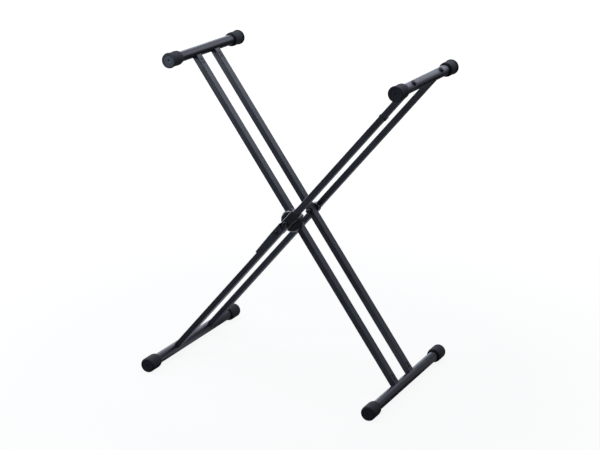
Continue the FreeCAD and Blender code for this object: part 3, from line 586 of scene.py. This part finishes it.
# Moulded nylon strap: a plain satin black whose teeth break its shine into short lines.
tie_nylon, shader = new_finish("ribbed_tie_nylon")
place = add(tie_nylon, "ShaderNodeTexCoord")
teeth = add(tie_nylon, "ShaderNodeTexWave",
            {"wave_type": "BANDS", "bands_direction": "Y",
             "Scale": 1 / (TOOTH_PITCH * WAVES_PER_UNIT)},
            {"Vector": place.outputs["Object"]})
mottle(tie_nylon, shader, teeth.outputs["Fac"], ("#0f0f12", "#1b1b1f"), 0.42)
relief = add(tie_nylon, "ShaderNodeBump", {"Strength": 0.4, "Distance": TOOTH_DEPTH},
             {"Height": teeth.outputs["Fac"]})
feed(shader, "Normal", relief.outputs["Normal"])
clean_copy("cable_tie", tie_nylon)

# ---------------------------------------------------------------- studio
# A plain pale floor in a white room, lit by five soft boxes: a broad one overhead, a small
# one at the upper left, one on the left and two behind. Upper faces are light, and
# undersides fall to near black. Distances are in metres.
COOL = "#e4ebfb"             # daylight tint of all light but what the camera sees directly
FLOOR_SIZE = 40.0
FLOOR_GREY = "#a8a8a8"       # what the lamps light: dark enough to leave undersides dark
# The camera sees a white over that grey. Its share grows with the distance from the middle,
# so that the stand keeps its shadow and the floor has no edge.
FLOOR_WHITE = 1.08
FLOOR_WHITE_SHARE = (0.84, 1.0)
FLOOR_WHITE_REACH = (0.6, 2.2)
FLOOR_FRONT, FLOOR_BACK = -0.8, 1.8
# What glossy surfaces see of the floor, by its distance behind the pivot axis: it is lit in
# front and behind, and lies in shade beside the middle of the foot bars.
FLOOR_SHINE = ((-0.8, 0.26), (-0.45, 0.24), (-0.12, 0.06), (0.12, 0.06), (0.4, 0.5),
               (1.15, 0.5), (1.6, 0.06))
FLOOR_SHINE_UNDER = 1.3      # the same in a round patch under the pivot,
UNDER_REACH = (0.20, 0.34)   # which fades out between these distances
ROOM_FILL = 0.12             # the room's light on matte surfaces
ROOM_SHINE = 0.45            # what glossy surfaces see of the room
bpy.ops.mesh.primitive_plane_add(size=FLOOR_SIZE, location=(0, 0, 0))
floor = bpy.context.object
floor.name = "floor"
floor_paint, shader = new_finish("studio_floor")
shader.inputs["Base Color"].default_value = linear(FLOOR_GREY)
shader.inputs["Roughness"].default_value = 0.9
shader.inputs["Specular IOR Level"].default_value = 0.0
glow = add(floor_paint, "ShaderNodeEmission",
           {"Color": linear("#ffffff"), "Strength": FLOOR_WHITE})
ray = add(floor_paint, "ShaderNodeLightPath")
place = add(floor_paint, "ShaderNodeTexCoord")
distance = add(floor_paint, "ShaderNodeVectorMath", {"operation": "LENGTH"},
               {0: place.outputs["Object"]})
fade = add(floor_paint, "ShaderNodeMapRange",
           {"From Min": FLOOR_WHITE_REACH[0], "From Max": FLOOR_WHITE_REACH[1],
            "To Min": FLOOR_WHITE_SHARE[0], "To Max": FLOOR_WHITE_SHARE[1]},
           {"Value": distance.outputs["Value"]})
share = add(floor_paint, "ShaderNodeMath", {"operation": "MULTIPLY"},
            {0: ray.outputs["Is Camera Ray"], 1: fade.outputs["Result"]})
lit = add(floor_paint, "ShaderNodeMixShader", None,
          {"Fac": share.outputs[0], 1: shader.outputs[0], 2: glow.outputs[0]})
along = add(floor_paint, "ShaderNodeSeparateXYZ", links={"Vector": place.outputs["Object"]})
depth = add(floor_paint, "ShaderNodeMapRange",
            {"From Min": FLOOR_FRONT, "From Max": FLOOR_BACK}, {"Value": along.outputs["Y"]})
sheen = add(floor_paint, "ShaderNodeValToRGB", links={"Fac": depth.outputs["Result"]})
sheen.color_ramp.elements.remove(sheen.color_ramp.elements[1])
for row, (y, strength) in enumerate(FLOOR_SHINE):
    spot = (y - FLOOR_FRONT) / (FLOOR_BACK - FLOOR_FRONT)
    stop = sheen.color_ramp.elements.new(spot) if row else sheen.color_ramp.elements[0]
    stop.position = spot
    stop.color = (strength, strength, strength, 1)
under = add(floor_paint, "ShaderNodeMapRange",
            {"From Min": UNDER_REACH[0], "From Max": UNDER_REACH[1],
             "To Min": FLOOR_SHINE_UNDER, "To Max": 0.0},
            {"Value": distance.outputs["Value"]})
brighter = add(floor_paint, "ShaderNodeMath", {"operation": "MAXIMUM"},
               {0: sheen.outputs["Color"], 1: under.outputs["Result"]})
reflected = add(floor_paint, "ShaderNodeEmission", {"Color": linear(COOL)},
                {"Strength": brighter.outputs[0]})
mixed = add(floor_paint, "ShaderNodeMixShader", None,
            {"Fac": ray.outputs["Is Glossy Ray"], 1: lit.outputs[0], 2: reflected.outputs[0]})
feed(floor_paint.node_tree.nodes["Material Output"], "Surface", mixed.outputs[0])
floor.data.materials.append(floor_paint)

# The camera sees the room as plain white, and the stand is lit by a dimmer, cooler one.
world = bpy.data.worlds.new("white_room")
bpy.context.scene.world = world
world.use_nodes = True
back = world.node_tree.nodes["Background"]
ray = add(world, "ShaderNodeLightPath")
shine = add(world, "ShaderNodeMapRange", {"To Min": ROOM_FILL, "To Max": ROOM_SHINE},
            {"Value": ray.outputs["Is Glossy Ray"]})
seen = add(world, "ShaderNodeMath", {"operation": "MAXIMUM"},
           {0: ray.outputs["Is Camera Ray"], 1: shine.outputs["Result"]})
feed(back, "Strength", seen.outputs[0])
tint = add(world, "ShaderNodeMix",
           {"data_type": "RGBA", 6: linear(COOL), 7: linear("#ffffff")},
           {"Factor": ray.outputs["Is Camera Ray"]})
feed(back, "Color", tint.outputs[2])


def softbox(name, spot, aim, size, watts):
    """A rectangular soft box at a spot, turned to face what it is aimed at."""
    light = bpy.data.lights.new(name, "AREA")
    light.shape = "RECTANGLE"
    light.size, light.size_y = size
    light.energy = watts
    light.color = linear(COOL)[:3]
    lamp = bpy.data.objects.new(name, light)
    lamp.visible_camera = False
    lamp.location = spot
    lamp.rotation_euler = (Vector(aim) - Vector(spot)).to_track_quat("-Z", "Y").to_euler()
    bpy.context.scene.collection.objects.link(lamp)


softbox("overhead", spot=(0.1, 0.3, 2.5), aim=(0, 0, 0.5), size=(1.8, 1.8), watts=45)
softbox("upper_left", spot=(-0.75, -0.7, 1.0), aim=(-0.25, 0, 0.75), size=(0.35, 0.5), watts=8)
softbox("behind", spot=(0.35, 1.7, 1.5), aim=(-0.2, 0, 0.75), size=(1.2, 0.8), watts=4)
softbox("back_left", spot=(-1.9, 2.7, 1.25), aim=(0, 0, 0.4), size=(2.4, 2.4), watts=27)
softbox("left", spot=(-2.2, 0.15, 0.85), aim=(0, 0, 0.42), size=(1.1, 1.1), watts=30)

# The camera stands where the photograph's did, turned a little about its own axis. Its place
# and its angles in radians were solved from the ends of the bars, tubes and caps.
YAW, PITCH, ROLL = 0.41518, 0.29590, 0.051409
FOCAL_PIXELS, IMAGE_WIDTH = 1770.194, 600
SENSOR_MM = 36.0
CAMERA_FROM_PIVOT = Vector((1.765091, -4.023159, 1.308952))
CLIP_END = 60                # past the floor's far corner
PIVOT_HEIGHT = sum(corner.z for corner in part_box("pivot_bolts")) / 2
backward = Vector((math.sin(YAW) * math.cos(PITCH), -math.cos(YAW) * math.cos(PITCH),
                   math.sin(PITCH)))
level = Vector((math.cos(YAW), math.sin(YAW), 0))
upright = backward.cross(level)
right = level * math.cos(ROLL) + upright * math.sin(ROLL)
up = upright * math.cos(ROLL) - level * math.sin(ROLL)
camera_data = bpy.data.cameras.new("photo_camera")
camera_data.sensor_width = SENSOR_MM
camera_data.lens = FOCAL_PIXELS / IMAGE_WIDTH * SENSOR_MM
camera_data.clip_end = CLIP_END
camera = bpy.data.objects.new("photo_camera", camera_data)
turn = Matrix((right, up, backward)).transposed().to_4x4()
camera.matrix_world = Matrix.Translation(CAMERA_FROM_PIVOT + Vector((0, 0, PIVOT_HEIGHT))) @ turn
bpy.context.scene.collection.objects.link(camera)
bpy.context.scene.camera = camera
bpy.context.scene.view_settings.view_transform = "Standard"
